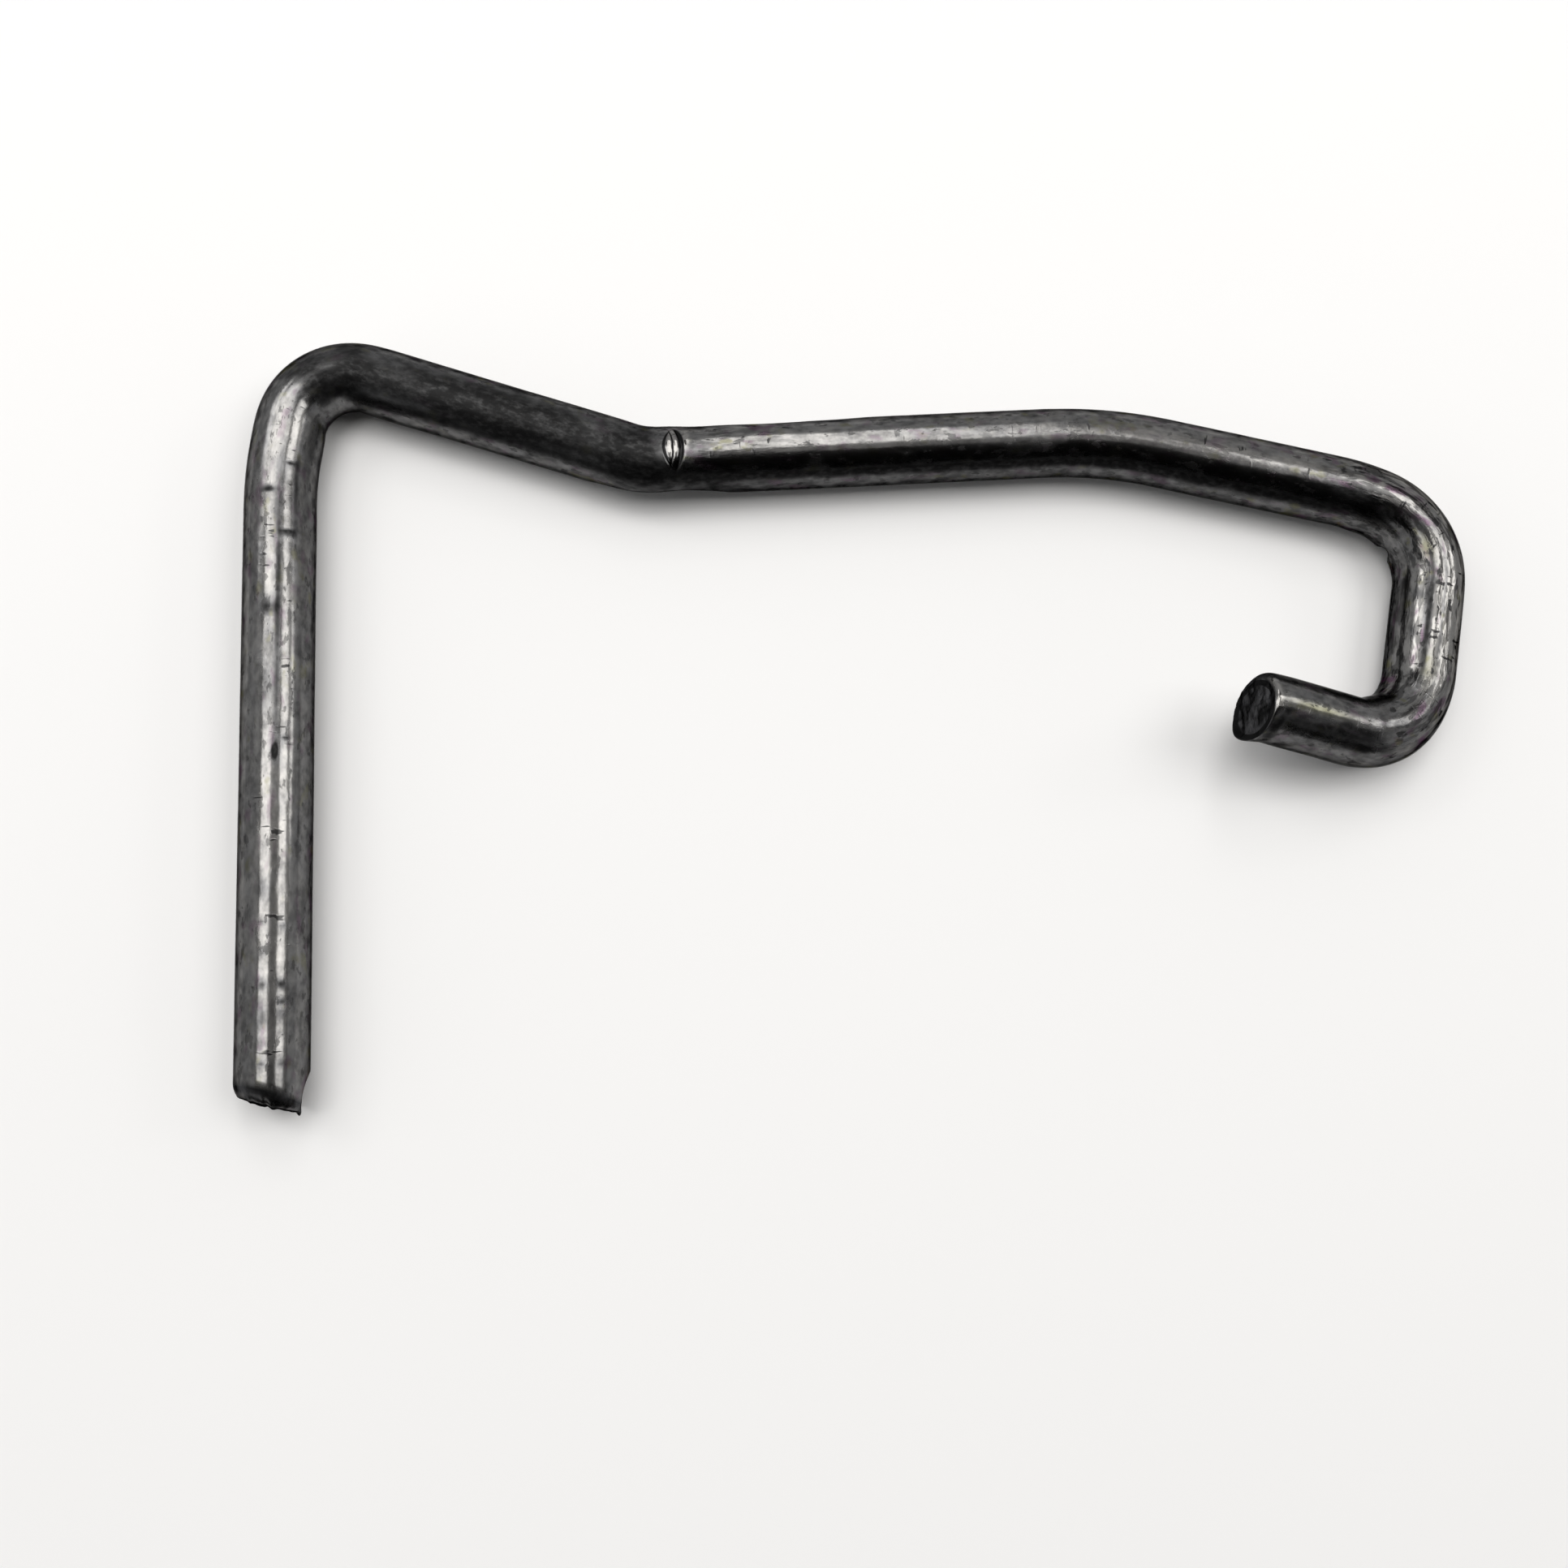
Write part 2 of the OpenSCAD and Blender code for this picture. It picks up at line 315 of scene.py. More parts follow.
# The nick's grooves: place past its middle (mm), half width (mm), depth (parts of the nick's depth) and
# bow, how far the groove's ends lie along the wire from its middle (mm)
GROOVES = [(-0.27, 0.04, 0.6, 0.26), (0.055, 0.028, 0.6, -0.15), (0.36, 0.08, 1.0, -0.2)]
# Angle about the wire from the nick's middle to its ends (degrees)
NICK_SPAN = 36


def nick_grooves(path, marks, s, around):
    """Depth of the nick: bowed grooves across the wire, each a bell curve deep in the middle and running
    out round the wire."""
    off = turned_from(around, marks.nick_turn) / math.radians(NICK_SPAN)
    depth = np.zeros_like(s)
    for place, wide, deep, bow in GROOVES:
        along = (s - path.bend_end(KICK) - marks.nick_place) / MM - place - bow * off**2
        groove = deep * marks.nick_depth * np.exp(-((along / wide) ** 2)) * np.exp(-(off**4))
        depth = np.maximum(depth, groove)
    return depth


# The worn skin's layers: share of its height, waves to the millimetre along and across the wire, seed.
# They are the long draw lines, the short scratches and the slow swells
SKIN_LAYERS = [(0.15, (0.22, 3.6, 3.6), 11), (0.15, (2.2, 4.0, 4.0), 12), (0.7, (0.45, 0.9, 0.9), 13)]
PIT_WAVES, PIT_SEED, PIT_FLOOR, PIT_DEPTH = (2.2, 4.5, 4.5), 14, 0.45, 1.6


def worn_skin(s, around, wire_r, height):
    """Height of the worn skin: layers of noise on the straightened wire, stretched along it, less pits
    where one more layer of noise passes its floor."""
    place = np.stack([s, wire_r * np.cos(around), wire_r * np.sin(around)], -1) / MM
    swells = sum(part * lattice_noise(place * waves, seed) for part, waves, seed in SKIN_LAYERS)
    pits = np.clip(lattice_noise(place * PIT_WAVES, PIT_SEED) - PIT_FLOOR, 0, 1)
    return height * (swells - PIT_DEPTH * pits)


# The mesh
# Points on each ring, rings of a rolled edge, rings of a cut face, rings between a rolled edge and the
# plain wire, how far from each cut the plain wire's rings stop, and the step between those
AROUND = 136
CAP_ROUND = 9
CAP_FLAT = 17
END_RINGS = 34
END_REACH = 2.4 * MM
RING_STEP = 0.15 * MM
# The rings' step at the nick, and how far that reaches to each side
NICK_STEP = 0.035 * MM
NICK_REACH = 0.75 * MM
# Places at which the rings' density is summed up
DENSITY_PLACES = 6000


def station_steps(path, detail_places):
    """Distances along the wire for the rings, a ring's step apart and closer near each place of detail.

    The rings' density is a constant plus a bell curve at each place; its running sum is cut into equal
    parts, and the distance at each cut is a ring."""
    s = np.linspace(END_REACH, path.end - END_REACH, DENSITY_PLACES)
    density = np.full_like(s, 1 / RING_STEP)
    for place, step, reach in detail_places:
        density += (1 / step) * np.exp(-(((s - place) / reach) ** 4))
    total = np.concatenate([[0], np.cumsum((density[1:] + density[:-1]) / 2 * np.diff(s))])
    return np.interp(np.linspace(0, total[-1], int(total[-1])), total, s)


# Each sheared end: length of its rolled edge along the wire (parts of its depth), where the edge is
# widest (degrees about the wire), height (mm) and place (degrees) of its burr, waves of its tears to the
# millimetre each way, and seed
LONG_CUT = {
    "roll_long": 2.0, "roll_place": 95.0, "burr": 0.17, "burr_place": 200.0,
    "tear_waves": (6.5, 1.4), "seed": 21,
}
TIP_CUT = {
    "roll_long": 1.0, "roll_place": 180.0, "burr": 0.2, "burr_place": -50.0,
    "tear_waves": (1.4, 3.6), "seed": 31,
}
# The rolled edge's least depth, and the burr's reach about the wire (radians) and in from the rim
LEAST_ROLL = 0.035 * MM
BURR_WIDE, BURR_LONG = 0.6, 0.2 * MM
# The torn face: how far in from the rim the tearing is full, height of the tears, height of the grain
# and its waves to the millimetre each way
TEAR_EDGE = 0.15 * MM
TEAR_HEIGHT, GRAIN_HEIGHT, GRAIN_WAVES = 0.03 * MM, 0.02 * MM, (9, 7)


def cut_end(around, wire_r, slope, roll, roll_long, roll_place, burr, burr_place, tear_waves, seed):
    """One sheared end: how far the face stands out from the nominal end at each ring, and the rings'
    radii as shares of the wire's. The face is a slanted plane that rolls over at its rim by a quarter of
    an ellipse, roll deep and roll_long times as long along the wire, widest at roll_place, with a thin
    lip at burr_place and the tears of the shear across it, tear_waves to the millimetre each way."""
    width = roll * (0.5 + 0.5 * np.cos(around - math.radians(roll_place))) ** 1.5 + LEAST_ROLL
    lift = np.linspace(0, np.pi / 2, CAP_ROUND, endpoint=False)[:, None]
    flat = np.linspace(0, 1, CAP_FLAT, endpoint=False)[:, None]
    radius = np.concatenate([wire_r - width * (1 - np.cos(lift)), (wire_r - width) * (1 - flat)])
    out = np.concatenate([-roll_long * width * (1 - np.sin(lift)), np.zeros((CAP_FLAT, len(around)))])
    y, z = radius * np.cos(around), radius * np.sin(around)

    def torn(waves, number):
        """Noise across the face, with so many waves to the millimetre each way."""
        return lattice_noise(np.stack([y * waves[0], z * waves[1], 0 * y], -1) / MM, number)

    inward = wire_r - radius
    depth = np.minimum(1, inward / TEAR_EDGE)
    off = turned_from(around, math.radians(burr_place))
    lip = burr * MM * np.exp(-((off / BURR_WIDE) ** 2)) * np.exp(-((inward / BURR_LONG) ** 2))
    rough = TEAR_HEIGHT * torn(tear_waves, seed) + GRAIN_HEIGHT * torn(GRAIN_WAVES, seed + 1)
    return radius / wire_r, out + slope * y + lip + depth * rough


# How torn and dark each ring of a rolled edge is, from the skin to the face: the long leg's paints the
# reflections on its rolled edge, a black line, a grey band of mirrored light and a black lip; the tip's
# stays bright up to its face
LONG_PAINTED_REFLECTION_BANDS = [0.0, 0.5, 1.0, 0.9, 0.5, 0.3, 0.3, 0.6, 1.0]
TIP_BANDS = [0.0, 0.0, 0.05, 0.1, 0.2, 0.4, 0.6, 0.8, 1.0]
# Rings at the rim of each cut face that are painted black
BLACK_RIM_RINGS = 3


def wire_grid(path, sizes, marks):
    """The whole skin as rings of points: distance along the wire, radius, angle about it, how far into a cut
    face, with painted bands of reflection on the long leg's rolled edge, and how black it is painted:
    painted shade in the nick's grooves, and black along the rims of the cut faces."""
    wire_r = sizes.diameter / 2
    around = np.linspace(0, 2 * np.pi, AROUND, endpoint=False)
    nick = path.bend_end(KICK) + marks.nick_place
    middle = station_steps(path, [(nick, NICK_STEP, NICK_REACH)])
    share_in, out_in = cut_end(around, wire_r, -math.tan(marks.long_slant), marks.long_roll, **LONG_CUT)
    share_out, out_out = cut_end(around, wire_r, math.tan(marks.tip_slant), marks.tip_roll, **TIP_CUT)
    steps = np.linspace(0, 1, END_RINGS + 2)[1:-1, None]
    rim_in, rim_out = -out_in[0], path.end + out_out[0]
    lead = rim_in * (1 - steps) + END_REACH * steps
    tail = (path.end - END_REACH) * (1 - steps) + rim_out * steps
    body = np.broadcast_to(middle[:, None], (len(middle), AROUND))
    s = np.concatenate([-out_in[::-1], lead, body, tail, path.end + out_out])
    turn = np.broadcast_to(around, s.shape)
    rows_cap = CAP_ROUND + CAP_FLAT
    rows_wire = len(s) - 2 * rows_cap
    held = np.concatenate([
        np.broadcast_to(rim_in, (rows_cap, AROUND)), s[rows_cap:-rows_cap],
        np.broadcast_to(rim_out, (rows_cap, AROUND)),
    ])
    radius = wire_section(path, sizes, marks, held, turn)
    grooves = nick_grooves(path, marks, held, turn)
    radius = radius - grooves + worn_skin(held, turn, wire_r, marks.wear)
    radius = radius * np.concatenate([share_in[::-1], np.ones((rows_wire, AROUND)), share_out])
    cut = np.concatenate([
        np.ones(CAP_FLAT), LONG_PAINTED_REFLECTION_BANDS[::-1], np.zeros(rows_wire), TIP_BANDS, np.ones(CAP_FLAT),
    ])
    # Painted shade in the nick's grooves, and the cut faces' rims painted black
    black = grooves / marks.nick_depth
    black[CAP_FLAT - 1:CAP_FLAT - 1 + BLACK_RIM_RINGS] = 1
    black[-CAP_FLAT:-CAP_FLAT + BLACK_RIM_RINGS] = 1
    return s, radius, turn, np.broadcast_to(cut[:, None], s.shape), black


def grid_faces(rows):
    """Quads between neighbouring rings, then a fan from each end ring to its pole. The poles are the
    two points after the rings."""
    ring, spoke = np.meshgrid(np.arange(rows - 1), np.arange(AROUND), indexing="ij")
    beside = (spoke + 1) % AROUND
    quads = np.stack([
        ring * AROUND + spoke, (ring + 1) * AROUND + spoke,
        (ring + 1) * AROUND + beside, ring * AROUND + beside,
    ], -1).reshape(-1, 4)
    spoke = np.arange(AROUND)
    beside = (spoke + 1) % AROUND
    first, last = rows * AROUND, rows * AROUND + 1
    near = np.stack([np.full(AROUND, first), spoke, beside], -1)
    top = (rows - 1) * AROUND
    far = np.stack([np.full(AROUND, last), top + beside, top + spoke], -1)
    return quads.tolist() + near.tolist() + far.tolist()


# Where handling rubbed the skin bright (above 0) or left it dark (below), with painted highlights among the
# bright patches that brighten the lamps' streaks, and painted shade and painted reflections among the dark
# ones that darken the streaks and the bands of mirrored light: place along and about the wire (mm, degrees),
# reach along and about it (mm, degrees), amount
RUBS_AND_PAINTED_LIGHT = [
    # The long leg
    (12.0, 105.0, 16.0, 30.0, 0.8),
    (10.0, 165.0, 12.0, 30.0, -0.3),
    (17.5, 106.0, 7.5, 6.0, -1.5),
    (12.0, 104.0, 0.3, 6.0, -2.5),
    (21.4, 90.0, 0.12, 10.0, -2.0),
    # Painted shade: a dark line over the far right lamp's reflection along the long leg
    (21.6, 131.0, 2.8, 5.5, -1.1),
    (21.5, 75.0, 3.0, 6.0, -0.6),
    # The shoulder and the sloping run
    (23.8, 104.0, 1.2, 30.0, 0.5),
    (25.9, 105.0, 0.6, 50.0, -0.8),
    (27.5, 105.0, 1.2, 40.0, -1.0),
    (33.0, 99.0, 5.4, 42.0, -1.8),
    (38.3, 100.0, 1.0, 45.0, -1.0),
    # The kick, with the nick's raised edges
    # The nick's lands: fresh steel, with a painted highlight that makes them shine white
    (39.48, 86.0, 0.2, 26.0, 2.5),
    (39.97, 74.0, 0.14, 13.0, 2.5),
    (40.25, 92.0, 0.25, 25.0, -0.5),
    (40.5, 165.0, 2.2, 40.0, -0.6),
    # The middle and far runs
    # Painted highlight: paler steel that brightens the lamp's streak on the middle run
    (43.6, 83.0, 5.0, 40.0, 0.6),
    (46.0, 50.0, 9.0, 25.0, -0.35),
    # Painted reflections: dark stripes that widen the black band under the streaks, and darker steel over
    # the band of mirrored floor below them, on the middle and far runs
    (47.5, 143.0, 9.0, 9.0, -1.0),
    (46.0, 168.0, 10.0, 45.0, -0.4),
    (59.5, 143.0, 6.0, 9.0, -1.0),
    (59.0, 168.0, 7.0, 45.0, -0.4),
    # Painted highlight: paler steel that sets the brightness of the far run's streak
    (59.0, 84.0, 7.0, 26.0, 0.45),
    # The hook bend
    (64.6, 112.0, 0.9, 11.0, -1.1),
    (66.2, 124.0, 0.4, 9.0, -1.3),
    (66.5, 72.0, 1.4, 30.0, 0.8),
    (67.6, 100.0, 0.35, 12.0, -1.2),
    # The drop leg
    (71.0, 80.0, 3.0, 30.0, 0.9),
    (70.6, 128.0, 0.25, 12.0, -1.5),
    (72.0, 131.0, 0.3, 8.0, -1.5),
    (71.5, 50.0, 3.5, 22.0, 0.5),
    # Painted shade on the drop leg's left side, then painted highlights and painted shade that split its
    # streaks into bright and dark lines
    (71.0, 176.0, 4.5, 22.0, -0.5),
    (71.5, 109.0, 3.0, 7.0, -1.6),
    (71.5, 99.0, 2.8, 6.5, 1.6),
    (71.5, 88.0, 2.8, 3.5, -1.3),
    (71.5, 79.0, 2.8, 6.0, 0.9),
    (71.3, 127.0, 2.6, 8.0, 1.5),
    (71.3, 143.0, 2.6, 9.0, 0.9),
    # The tip
    (79.2, 50.0, 1.9, 8.0, -1.0),
    (79.2, 30.0, 2.4, 30.0, -0.35),
    # Painted highlight on the rim of the tip's cut, and painted shade over the reflections beside it
    (81.66, 90.0, 0.14, 34.0, 3.0),
    (81.6, 145.0, 0.25, 25.0, -1.0),
    (81.6, 35.0, 0.3, 30.0, -1.0),
]
# Two rows of dark marks across the long leg's top, by their place about the wire (degrees): each mark's
# place and reach along the wire (mm), reach about it (degrees) and amount
LEG_MARKS = {
    91.0: [
        (1.43, 0.12, 9.0, -1.0), (2.0, 0.2, 9.0, -0.5), (3.0, 0.6, 9.0, -0.9), (4.03, 0.2, 9.0, -1.1),
        (5.1, 0.2, 9.0, -1.1), (6.2, 0.12, 9.0, -1.0), (7.3, 0.4, 9.0, -0.9), (14.1, 1.2, 11.0, -1.0),
        (16.2, 0.5, 9.0, -0.8), (17.1, 0.3, 12.0, -1.6),
    ],
    119.0: [
        (1.4, 0.12, 9.0, -0.9), (3.1, 0.15, 9.0, -1.0), (3.5, 0.12, 9.0, -1.4), (4.05, 0.2, 9.0, -1.5),
        (6.0, 0.12, 9.0, -1.0), (12.45, 0.12, 9.0, -1.6), (19.8, 0.12, 10.0, -2.2), (22.4, 0.12, 8.0, -1.6),
    ],
}
RUBS_AND_PAINTED_LIGHT += [
    (place, row, reach, wide, amount)
    for row, dark_marks in LEG_MARKS.items()
    for place, reach, wide, amount in dark_marks
]
# Where the skin was scuffed dull against the bending tool: place and reach as above, amount
SCUFFS = [(20.3, 147.0, 4.6, 15.0, 1.0)]
# Where old oil has browned: place and reach as above, amount
BROWNED = [(79.9, 77.0, 1.1, 7.0, 1.0), (68.6, 112.0, 0.5, 9.0, 0.9), (73.4, 100.0, 0.6, 12.0, 0.6)]


def wire_mesh(path, sizes, marks):
    """The wire's mesh, with its place on the straightened wire, its cut faces and the painted bands of
    reflection on the long leg's rolled edge, the nick's grooves painted as shade, and the marks of handling
    kept as attributes; painted highlights and painted shade lie among those marks. Handling's marks are sums
    of bell-shaped patches."""
    s, radius, around, cut, groove = wire_grid(path, sizes, marks)
    points = path.surface(s, radius, around).reshape(-1, 3)
    straight = np.stack([s, radius * np.cos(around), radius * np.sin(around)], -1).reshape(-1, 3)
    ends = [slice(0, AROUND), slice(-AROUND, None)]
    points = np.concatenate([points, [points[end].mean(0) for end in ends]])
    straight = np.concatenate([straight, [straight[end].mean(0) for end in ends]])
    mesh = bpy.data.meshes.new("choke_rod_wire")
    mesh.from_pydata(points.tolist(), [], grid_faces(len(s)))
    mesh.validate()
    mesh.attributes.new("straight_mm", "FLOAT_VECTOR", "POINT").data.foreach_set(
        "vector", (straight / MM).astype(np.float32).ravel()
    )
    about = np.arctan2(straight[:, 2], straight[:, 1])
    layers = {
        "cut_face_and_painted_bands": np.concatenate([cut.reshape(-1), [1.0, 1.0]]),
        "groove": np.concatenate([groove.reshape(-1), [0.0, 0.0]]),
    }
    # The first layer holds handling's wear together with painted highlights and painted shade
    for name, patches in (("rubbed_and_painted_light", RUBS_AND_PAINTED_LIGHT), ("scuffed", SCUFFS), ("browned", BROWNED)):
        layers[name] = sum(dent(straight[:, 0], about, *patch) for patch in patches)
    for name, values in layers.items():
        mesh.attributes.new(name, "FLOAT", "POINT").data.foreach_set("value", values.astype(np.float32))
    mesh.polygons.foreach_set("use_smooth", np.ones(len(mesh.polygons), bool))
    mesh.update()
    return mesh


# Shader sums
class Field:
    """A shader socket that takes part in Python sums; each sum adds a Math node."""

    def __init__(self, nodes, socket):
        self.nodes, self.socket = nodes, socket

    def __add__(self, other):
        return self.nodes.math("ADD", self, other)

    __radd__ = __add__

    def __mul__(self, other):
        return self.nodes.math("MULTIPLY", self, other)

    __rmul__ = __mul__

    def __sub__(self, other):
        return self.nodes.math("SUBTRACT", self, other)

    def __rsub__(self, other):
        return self.nodes.math("SUBTRACT", other, self)

    def clip(self, low, high):
        """0 below low, 1 above high, eased between."""
        return self.nodes.make(
            "ShaderNodeMapRange", {"interpolation_type": "SMOOTHSTEP"}, self, low, high, 0.0, 1.0
        )


class Nodes:
    """The nodes of one material."""

    def __init__(self, name):
        self.material = bpy.data.materials.new(name)
        self.material.use_nodes = True
        self.tree = self.material.node_tree
        self.tree.nodes.clear()

    def feed(self, socket, value):
        """Links a field to a socket, or sets the socket's own value."""
        if isinstance(value, Field):
            self.tree.links.new(value.socket, socket)
        else:
            socket.default_value = value

    def make(self, kind, settings, *inputs, output=0, **named):
        """Adds a node, makes its settings, then gives its sockets their values or links."""
        node = self.tree.nodes.new(kind)
        for key, value in settings.items():
            setattr(node, key, value)
        for socket, value in zip(node.inputs, inputs):
            self.feed(socket, value)
        for key, value in named.items():
            self.feed(node.inputs[key.replace("_", " ")], value)
        return Field(self, node.outputs[output]) if node.outputs else node

    def math(self, operation, first, second):
        """One sum of two values."""
        return self.make("ShaderNodeMath", {"operation": operation}, first, second)

    def mix(self, factor, first, second):
        """A colour from first at 0 to second at 1."""
        node = self.tree.nodes.new("ShaderNodeMix")
        node.data_type = "RGBA"
        self.feed(node.inputs[0], factor)
        for place, tone in ((6, first), (7, second)):
            self.feed(node.inputs[place], tone if isinstance(tone, Field) else (*tone, 1.0))
        return Field(self, node.outputs[2])

    def noise(self, vector, waves, detail, rough):
        """Noise from 0 to 1 on a vector in millimetres, with so many waves to the millimetre."""
        stretched = self.make("ShaderNodeVectorMath", {"operation": "MULTIPLY"}, vector, waves)
        return self.make(
            "ShaderNodeTexNoise", {}, Vector=stretched, Scale=1.0, Detail=detail, Roughness=rough,
        )

    def layer(self, name, output=2):
        """One of the mesh's attributes: a number, or a vector from output 1."""
        return self.make("ShaderNodeAttribute", {"attribute_name": name}, output=output)


# Stretches that bending crazed: where the crazing sets in and where it ends, each over a short way
# (mm along the wire), and its strength
CRAZED = [((61.5, 65.5), (75.0, 78.0), 1.0), ((39.9, 40.6), (42.0, 47.0), 0.7)]
# Tones of the skin, as shares of the dark steel's colour
# The rust tone also paints shade where the handling layer is below 0
DEEP_SKIN, PALE_SKIN, BLACK_SKIN, RUST_AND_SHADE_SKIN, SPECK_SKIN = 0.62, 1.2, 0.12, 0.4, 0.25
# How far the rim of the wire, seen at a glancing angle, still mirrors; kept low, it paints the wire's
# outline dark, a painted shade in place of the rim's reflection
RIM_SHINE = 0.25


def toned(base, amount):
    """A colour made darker or paler."""
    return tuple(amount * part for part in base)


def steel_material(finish):
    """Drawn steel: worn bright on the crests of its draw lines and where it was handled, with painted
    highlights that brighten the lamps' streaks in places, dark and patchy elsewhere, with painted shade and
    painted reflections that darken the streaks and break them in places, purple temper colour, brown oil,
    fine crazing where it was bent, painted shade in the nick's grooves, painted bands of reflection on the
    long leg's rolled edge, a rim painted dark at glancing angles, and torn and dull on the cut faces. Every
    pattern lies on the straightened wire, in millimetres."""
    n = Nodes("Drawn steel")
    place = n.layer("straight_mm", output=1)
    # The handling layer, worn, holds painted highlights above 0 and painted shade below 0 as well as wear
    cut, worn, scuffed, browned = (n.layer(name) for name in ("cut_face_and_painted_bands", "rubbed_and_painted_light", "scuffed", "browned"))
    # The groove layer paints shade into the nick's grooves and paints the cut faces' rims black
    groove = n.layer("groove").clip(0.04, 0.35)
    along = n.make("ShaderNodeSeparateXYZ", {}, place)
    tight = sum(along.clip(*start) * (1 - along.clip(*end)) * amount for start, end, amount in CRAZED)

    # Patterns of the skin, each with its waves to the millimetre along the wire and across it. Those that
    # are clipped are patches where the noise passes a level, and the rest vary all over
    lines = n.noise(place, (0.4, 4.5, 4.5), 2.0, 0.5)
    cloud = n.noise(place, (0.9, 1.6, 1.6), 3.0, 0.55)
    grain = n.noise(place, (3.0, 5.2, 5.2), 3.0, 0.6)
    patches = n.noise(place, (1.5, 2.4, 2.4), 3.0, 0.6).clip(0.36, 0.64)
    flecks = n.noise(place, (1.6, 3.4, 3.4), 3.0, 0.6).clip(0.575, 0.63)
    ticks = n.noise(place, (4.6, 1.3, 1.3), 2.0, 0.5).clip(0.64, 0.7)
    craze = n.noise(place, (1.1, 5.0, 5.0), 2.0, 0.6).clip(0.47, 0.57)
    torn = n.noise(place, (1.0, 1.3, 3.4), 3.0, 0.6).clip(0.34, 0.78)
    dull = n.noise(place, (0.55, 1.25, 1.25), 2.0, 0.5).clip(0.54, 0.66)
    purple = n.noise(place, (1.1, 2.3, 2.3), 2.0, 0.5).clip(0.56, 0.72)
    olive = n.noise(place, (1.3, 2.0, 2.0), 2.0, 0.5).clip(0.6, 0.74)
    # Below 0 the handling layer paints shade through this oxide mask; above 0 it paints highlights through
    # the bright mix
    oxide_and_painted_shade = (cloud - 0.5 - worn).clip(0.0, 1.2)
    rubbed_and_painted_light = (cloud * 0.9 + grain * 0.8 + lines * 0.3 + worn * 0.5).clip(0.7, 1.8)
    specks = flecks * 0.5 + ticks * worn.clip(0.05, 0.4) * 0.8 + craze * tight * 0.6

    # Colours, each laid over the ones before it
    black = toned(finish.dark, BLACK_SKIN)
    skin = n.mix(patches, toned(finish.dark, DEEP_SKIN), toned(finish.dark, PALE_SKIN))
    rust_and_painted_shade = n.mix(grain.clip(0.4, 0.8), black, toned(finish.dark, RUST_AND_SHADE_SKIN))
    # Bright steel where wear lies and where highlights are painted
    base = n.mix(rubbed_and_painted_light, skin, tuple(finish.bright))
    base = n.mix(purple * (0.45 + 0.4 * tight), base, tuple(finish.stain))
    base = n.mix(olive * (0.45 + 0.3 * tight) + browned * 0.7, base, tuple(finish.oil))
    base = n.mix(specks.clip(0.0, 1.0), base, toned(finish.dark, SPECK_SKIN))
    # Rust on oxide patches, which is also the painted shade of the handling layer's dark patches
    base = n.mix(oxide_and_painted_shade, base, rust_and_painted_shade)
    # The cut faces, and the painted bands of reflection on the long leg's rolled edge
    base = n.mix(cut, base, n.mix(torn, black, tuple(finish.cut)))
    # Painted shade in the nick's grooves, and black on the cut faces' rims
    base = n.mix(groove, base, black)

    # Gloss and fine relief
    rough = finish.gloss + (1 - rubbed_and_painted_light) * 0.06 + dull * 0.08 + oxide_and_painted_shade * 0.25 + flecks * 0.1
    rough = rough + cut * 0.2 + scuffed * 0.35
    height = cloud * 0.7 + grain * 0.25 - flecks * 0.1 - ticks * 0.15 - craze * tight * 0.2
    bump = n.make("ShaderNodeBump", {}, Strength=0.35, Distance=0.025 * MM, Height=height)
    shader = n.make(
        "ShaderNodeBsdfPrincipled", {}, Base_Color=base, Metallic=1.0, Roughness=rough, Normal=bump,
        # A dark rim tint: painted shade along the wire's outline
        Specular_Tint=(RIM_SHINE, RIM_SHINE, RIM_SHINE, 1.0),
    )
    n.make("ShaderNodeOutputMaterial", {}, shader)
    return n.material


def plain_material(name, base):
    """One plain matt colour, for the stage."""
    n = Nodes(name)
    shader = n.make(
        "ShaderNodeBsdfPrincipled", {}, Base_Color=(*base, 1.0), Roughness=0.9, Specular_IOR_Level=0.0,
    )
    n.make("ShaderNodeOutputMaterial", {}, shader)
    return n.material


# Operators
def add_object(name, data):
    """A new object at the origin with this data."""
    thing = bpy.data.objects.new(name, data)
    bpy.context.scene.collection.objects.link(thing)
    return thing


def add_sheet(name, corners, material):
    """A flat four-cornered sheet for the stage."""
    mesh = bpy.data.meshes.new(name)
    mesh.from_pydata(corners, [], [(0, 1, 2, 3)])
    mesh.materials.append(material)
    sheet = add_object(name, mesh)
    return sheet


class CHOKEROD_OT_wire(bpy.types.Operator):
    """Build the bent wire with its tool marks, its sheared ends and its finish"""

    bl_idname = "choke_rod.wire"
    bl_label = "Add Wire"

    def execute(self, context):
        sizes, marks = context.scene.choke_rod_sizes, context.scene.choke_rod_marks
        # Each row: straight, turn about the wire, angle of the bend after it, radius of that bend
        rows = [
            (sizes.long_leg, 0, -sizes.lead_in, sizes.lead_in_radius),
            (sizes.shoulder_straight, 0, -sizes.shoulder, sizes.shoulder_radius),
            (sizes.slope_run, 0, sizes.kick, sizes.kick_radius),
            (sizes.middle_run, 0, -sizes.sag, sizes.sag_radius),
            (sizes.far_run, 0, -sizes.pre_bend, sizes.pre_bend_radius),
            (sizes.pre_bend_straight, 0, -sizes.hook, sizes.hook_radius),
            (sizes.drop_leg, -sizes.tip_lift, -sizes.tip, sizes.tip_radius),
            (sizes.tip_run, 0, sizes.droop, sizes.droop_radius),
        ]
        mesh = wire_mesh(WirePath(rows, sizes.tip_end), sizes, marks)
        mesh.materials.append(steel_material(context.scene.choke_rod_finish))
        wire = add_object("choke_rod_wire", mesh)
        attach(wire, "root")
        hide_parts("choke_rod")
        return {"FINISHED"}


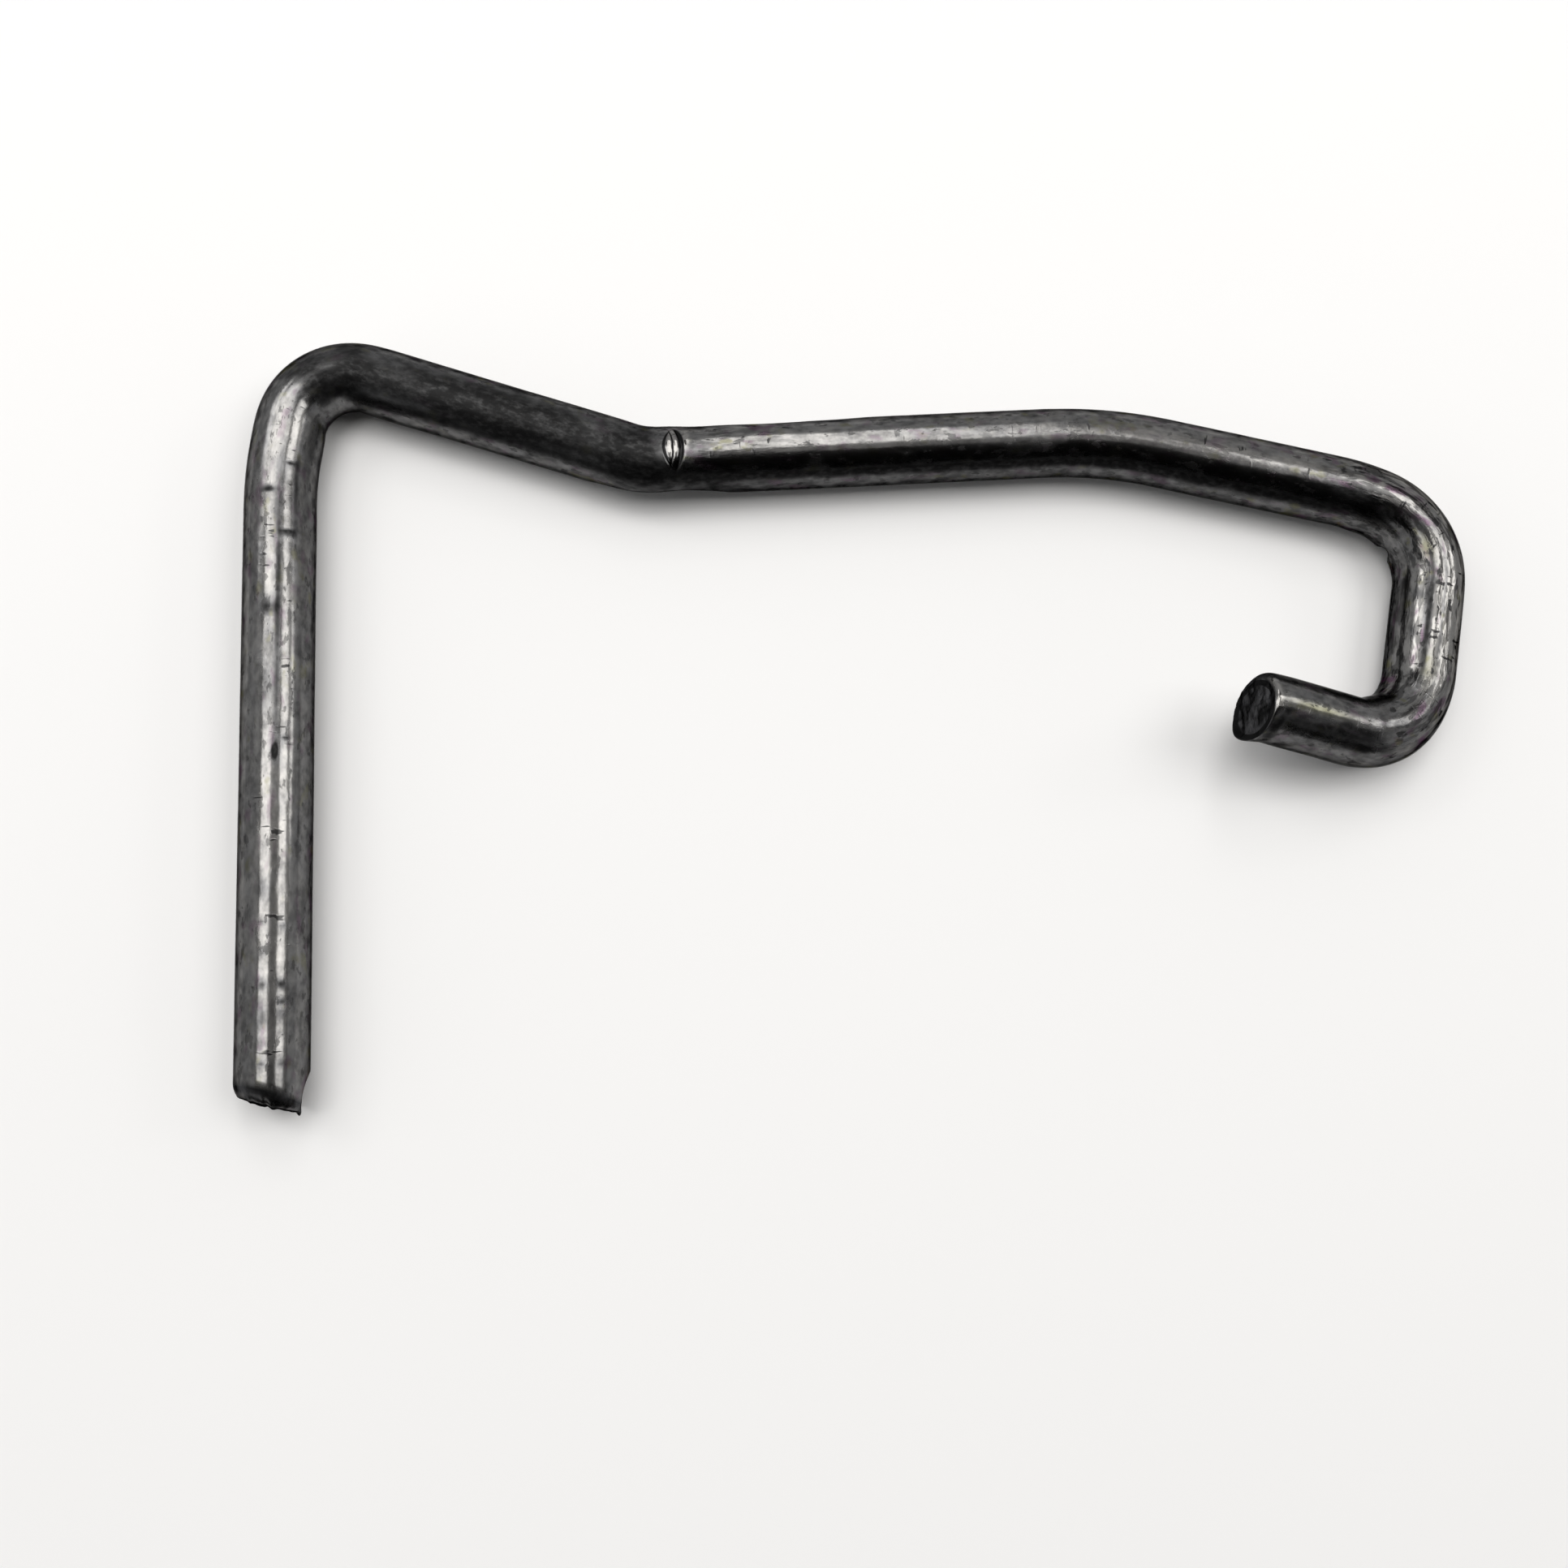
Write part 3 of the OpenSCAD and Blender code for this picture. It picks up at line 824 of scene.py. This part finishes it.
# Soft boxes that face straight down: name, middle, width and length (metres) and brightness of the face
LAMPS = [
    ("lamp_back", (0.0345, 0.2, 0.28), 0.109, 0.3, 3.3),
    ("lamp_left_back", (-0.2725, 0.195, 0.28), 0.195, 0.13, 3.4),
    ("lamp_left", (-0.0975, 0.06, 0.28), 0.155, 0.21, 3.6),
    ("lamp_right", (0.21, 0.0475, 0.28), 0.18, 0.185, 3.6),
    ("lamp_high_right", (0.18, 0.225, 0.28), 0.15, 0.15, 0.7),
    ("lamp_gap", (0.36, 0.08, 0.28), 0.11, 0.25, 0.65),
    ("lamp_far_right", (0.50, 0.14, 0.28), 0.16, 0.15, 3.7),
    ("lamp_over", (0.05, 0.01, 0.28), 0.14, 0.08, 0.4),
]
LAMP_TINT = (1.0, 0.985, 0.965)
CARD_COLOUR = (0.004, 0.004, 0.004)
# Half the floor's side, and the dark ceiling card's sides and height, in metres
FLOOR_HALF = 2.0
CARD_LEFT, CARD_RIGHT, CARD_NEAR, CARD_BACK, CARD_HIGH = -0.22, 0.5, -0.6, 0.33, 0.3
# Half the width of the upright card at the ceiling card's near side, and the height of its foot
FRONT_HALF, FRONT_FOOT = 0.8, 0.001
# The camera's place, the way it looks and the way its right side points
CAMERA_PLACE = (-0.0054514, -0.009391, 0.0497875)
CAMERA_AHEAD = (0.04612, 0.13194, -0.99018)
CAMERA_RIGHT = (0.99854, -0.03408, 0.04197)


def set_floor_and_cards(floor_colour):
    """A pale floor, and a dark ceiling card and front card, which the wire mirrors as its black bands and
    the camera doesn't see."""
    floor = [(x * FLOOR_HALF, y * FLOOR_HALF, 0) for x, y in ((-1, -1), (1, -1), (1, 1), (-1, 1))]
    add_sheet("floor", floor, plain_material("Pale floor", floor_colour))
    ceiling = [
        (CARD_LEFT, CARD_NEAR, CARD_HIGH), (CARD_LEFT, CARD_BACK, CARD_HIGH),
        (CARD_RIGHT, CARD_BACK, CARD_HIGH), (CARD_RIGHT, CARD_NEAR, CARD_HIGH),
    ]
    front = [
        (-FRONT_HALF, CARD_NEAR, FRONT_FOOT), (-FRONT_HALF, CARD_NEAR, CARD_HIGH),
        (FRONT_HALF, CARD_NEAR, CARD_HIGH), (FRONT_HALF, CARD_NEAR, FRONT_FOOT),
    ]
    dark = plain_material("Dark card", CARD_COLOUR)
    for name, corners in (("ceiling_card", ceiling), ("front_card", front)):
        add_sheet(name, corners, dark).visible_camera = False


def set_lights(scene, room):
    """The lamps, each as bright over its whole face as its row says, and the room's even light."""
    for name, place, wide, long, bright in LAMPS:
        light = bpy.data.lights.new(name, "AREA")
        light.shape, light.size, light.size_y = "RECTANGLE", wide, long
        light.energy = bright * math.pi * wide * long
        light.color = LAMP_TINT
        add_object(name, light).location = place
    scene.world = bpy.data.worlds.new("Room")
    scene.world.use_nodes = True
    background = scene.world.node_tree.nodes["Background"]
    background.inputs["Color"].default_value = (1.0, 1.0, 1.0, 1.0)
    background.inputs["Strength"].default_value = room


def set_camera(scene, lens):
    """The camera above the rod, looking down at the photograph's angle."""
    camera_data = bpy.data.cameras.new("camera")
    camera_data.sensor_width, camera_data.lens = 36.0, lens
    camera_data.clip_start, camera_data.clip_end = 0.001, 20.0
    camera = add_object("camera", camera_data)
    ahead = Vector(CAMERA_AHEAD).normalized()
    right = Vector(CAMERA_RIGHT)
    right = (right - ahead * right.dot(ahead)).normalized()
    turn = Matrix((right, right.cross(ahead), -ahead)).transposed().to_4x4()
    camera.matrix_world = Matrix.Translation(CAMERA_PLACE) @ turn
    scene.camera = camera


class CHOKEROD_OT_stage(bpy.types.Operator):
    """Set the pale floor, the soft lamps, the dark cards and the camera"""

    bl_idname = "choke_rod.stage"
    bl_label = "Set Stage"

    def execute(self, context):
        scene, studio = context.scene, context.scene.choke_rod_studio
        set_floor_and_cards(studio.floor_colour)
        set_lights(scene, studio.room)
        set_camera(scene, studio.lens)
        scene.view_settings.view_transform = "Standard"
        return {"FINISHED"}


class CHOKEROD_PT_panel(bpy.types.Panel):
    """Lists the rod's pieces and sizes"""

    bl_label = "Choke Rod"
    bl_idname = "CHOKEROD_PT_panel"
    bl_space_type = "VIEW_3D"
    bl_region_type = "UI"
    bl_category = "Choke Rod"

    def draw(self, context):
        column = self.layout.column()
        for operator in (CHOKEROD_OT_wire, CHOKEROD_OT_stage):
            column.operator(operator.bl_idname)
        for name in SETTINGS:
            group = getattr(context.scene, name)
            box = self.layout.box()
            for key in group.__annotations__:
                box.prop(group, key)


SETTINGS = {
    "choke_rod_sizes": WireSizes,
    "choke_rod_marks": MarkSizes,
    "choke_rod_finish": SteelFinish,
    "choke_rod_studio": StudioSizes,
}
CLASSES = (*SETTINGS.values(), CHOKEROD_OT_wire, CHOKEROD_OT_stage, CHOKEROD_PT_panel)


def register():
    """Registers the classes and gives every scene the settings."""
    for cls in CLASSES:
        bpy.utils.register_class(cls)
    for name, group in SETTINGS.items():
        setattr(bpy.types.Scene, name, bpy.props.PointerProperty(type=group))


def unregister():
    """Takes the settings and the classes away again."""
    for name in SETTINGS:
        delattr(bpy.types.Scene, name)
    for cls in reversed(CLASSES):
        bpy.utils.unregister_class(cls)


def main():
    """Builds the rod and its stage."""
    register()
    bpy.ops.choke_rod.wire()
    bpy.ops.choke_rod.stage()


if __name__ == "__main__":
    main()
